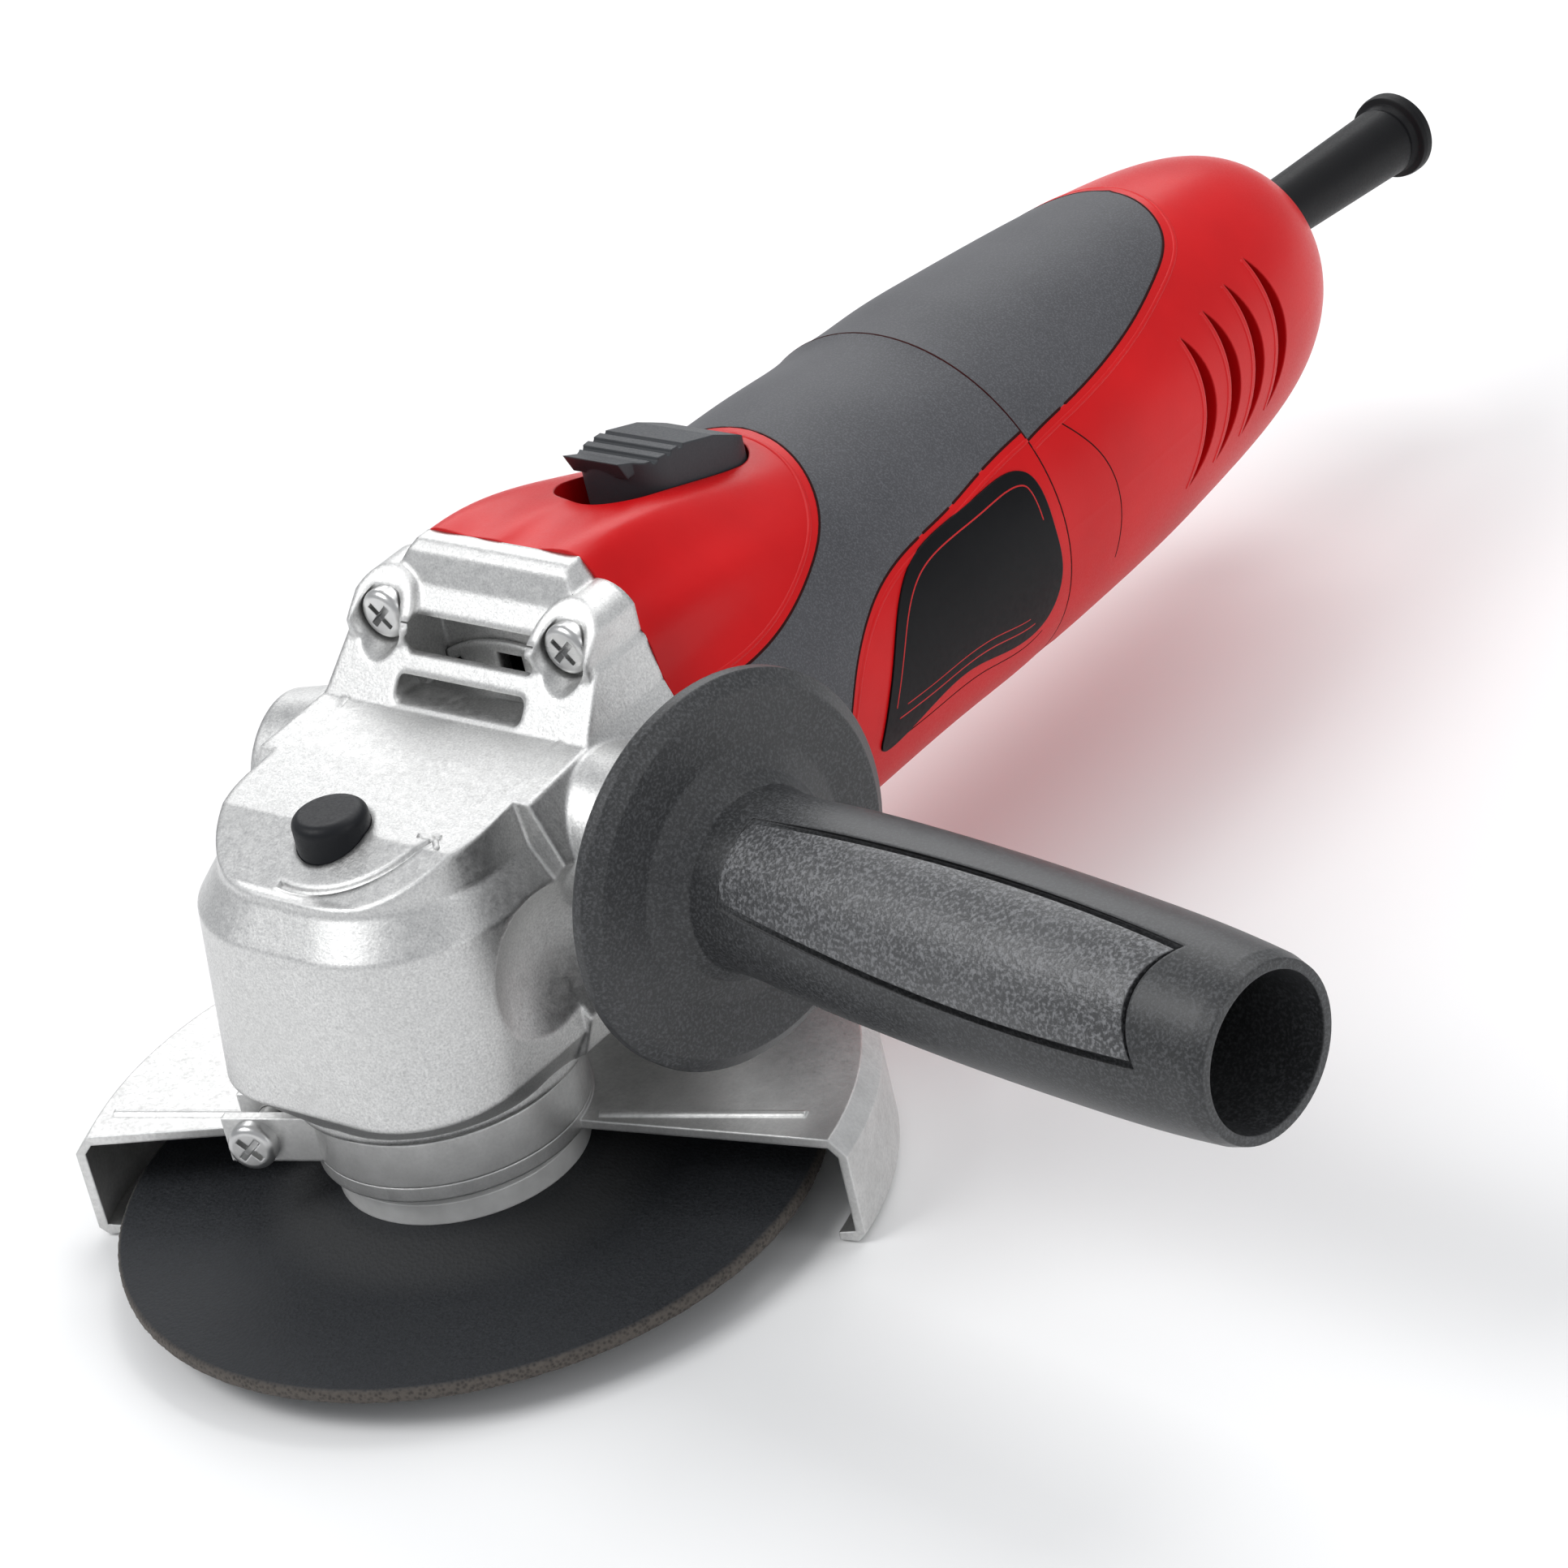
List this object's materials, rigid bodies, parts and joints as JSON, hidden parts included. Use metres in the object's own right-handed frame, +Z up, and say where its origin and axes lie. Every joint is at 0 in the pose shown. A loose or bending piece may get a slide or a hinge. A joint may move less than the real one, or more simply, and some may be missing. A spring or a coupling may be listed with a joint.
{
  "type": "angle grinder",
  "caption": "Corded angle grinder with a slide switch, spindle lock, turnable disc guard, side handle and depressed-centre grinding disc.",
  "frame": {"origin": "on the spindle axis, in the plane of the grinding disc's lower rim face", "axes": "+Z up along the spindle, +Y back along the body to the cord sleeve, +X to the fitted side handle (the operator's left)"},
  "size_m": [0.2249, 0.3487, 0.1009],
  "materials": {
    "cast_aluminium": "fine sand-cast, bead blasted",
    "screw_steel": "zinc plated",
    "turned_steel": "turned, bright",
    "gear_steel": "hardened, oiled",
    "bearing_steel": "ground",
    "bush_bronze": "plain",
    "abrasive": "resin-bonded grit",
    "guard_sheet": "zinc plated sheet",
    "red_housing": "satin moulded",
    "soft_grip": "soft overmould",
    "label": "printed film",
    "black_plastic": "fine textured",
    "sleeve_rubber": "moulded",
    "laminations": "stacked sheets",
    "copper": "enamelled wire",
    "carbon": "pressed carbon",
    "capacitor_case": "film capacitor"
  },
  "bodies": {
    "housing": {"air_baffle": "black_plastic", "bearing_flange": "cast_aluminium", "bearing_flange_screws": "screw_steel", "bearing_plate": "cast_aluminium", "brush_frame": "black_plastic", "brush_holders": "bush_bronze", "brush_spring_bottom": "bearing_steel", "brush_spring_top": "bearing_steel", "capacitor": "capacitor_case", "cord_clamp": "black_plastic", "cord_clamp_screws": "screw_steel", "cord_sleeve": "sleeve_rubber", "field_coils": "copper", "front_bearing_outer": "bearing_steel", "front_grip": "soft_grip", "gear_housing": "cast_aluminium", "gear_housing_screws": "screw_steel", "handle_pads": "black_plastic", "handle_stud": "turned_steel", "lock_spring": "bearing_steel", "motor_housing": "red_housing", "rear_bearing_outer": "bearing_steel", "rear_grip": "soft_grip", "rear_housing": "red_housing", "rear_housing_screws": "screw_steel", "side_handle": "black_plastic", "side_labels": "label", "spindle_bearing_outer": "bearing_steel", "spindle_bush": "bush_bronze", "stator_core": "laminations", "stator_screws": "screw_steel", "switch_block": "black_plastic"},
    "spindle": {"spindle": "turned_steel", "crown_gear": "gear_steel", "retaining_ring": "gear_steel", "spindle_bearing_inner": "bearing_steel", "inner_flange": "turned_steel", "grinding_disc": "abrasive", "clamp_nut": "turned_steel"},
    "armature": {"armature_shaft": "turned_steel", "pinion": "gear_steel", "pinion_nut": "gear_steel", "armature_core": "laminations", "armature_windings": "copper", "commutator": "copper", "fan": "black_plastic", "front_bearing_inner": "bearing_steel", "rear_bearing_inner": "bearing_steel"},
    "guard": {"guard_shell": "guard_sheet", "guard_band": "guard_sheet", "guard_screw": "screw_steel", "guard_nut": "screw_steel"},
    "lock": {"lock_button": "black_plastic", "lock_pin": "turned_steel"},
    "switch": {"switch_slider": "black_plastic", "switch_rod": "black_plastic"},
    "brush_top": {"carbon_brush_top": "carbon"},
    "brush_bottom": {"carbon_brush_bottom": "carbon"}
  },
  "joints": [
    {"name": "spindle_spin", "type": "hinge", "parent": "housing", "child": "spindle", "pos_m": [0, 0, 0], "axis": [0, 0, 1], "continuous": true},
    {"name": "armature_spin", "type": "hinge", "parent": "housing", "child": "armature", "pos_m": [0, 0.1, 0.05], "axis": [0, 1, 0], "continuous": true},
    {"name": "guard_turn", "type": "hinge", "parent": "housing", "child": "guard", "pos_m": [0, 0, 0.0136], "axis": [0, 0, 1], "range_deg": [-70, 90]},
    {"name": "spindle_lock_press", "type": "slide", "parent": "housing", "child": "lock", "axis": [0, 0, -1], "range_m": [0, 0.0028], "stiffness_N_per_m": 1200, "springref_m": -0.002, "deforming": ["lock_spring"]},
    {"name": "switch_slide", "type": "slide", "parent": "housing", "child": "switch", "axis": [0, -0.9903, 0.1386], "range_m": [0, 0.006], "stiffness_N_per_m": 700, "springref_m": -0.003},
    {"name": "brush_top_wear", "type": "slide", "parent": "housing", "child": "brush_top", "axis": [0, 0, 1], "range_m": [0, 0.003], "stiffness_N_per_m": 500, "springref_m": -0.008, "deforming": ["brush_spring_top"]},
    {"name": "brush_bottom_wear", "type": "slide", "parent": "housing", "child": "brush_bottom", "axis": [0, 0, -1], "range_m": [0, 0.003], "stiffness_N_per_m": 500, "springref_m": -0.008, "deforming": ["brush_spring_bottom"]}
  ],
  "couplings": [
    {"joint": "armature_spin", "follows": "spindle_spin", "ratio": 3.3636}
  ]
}
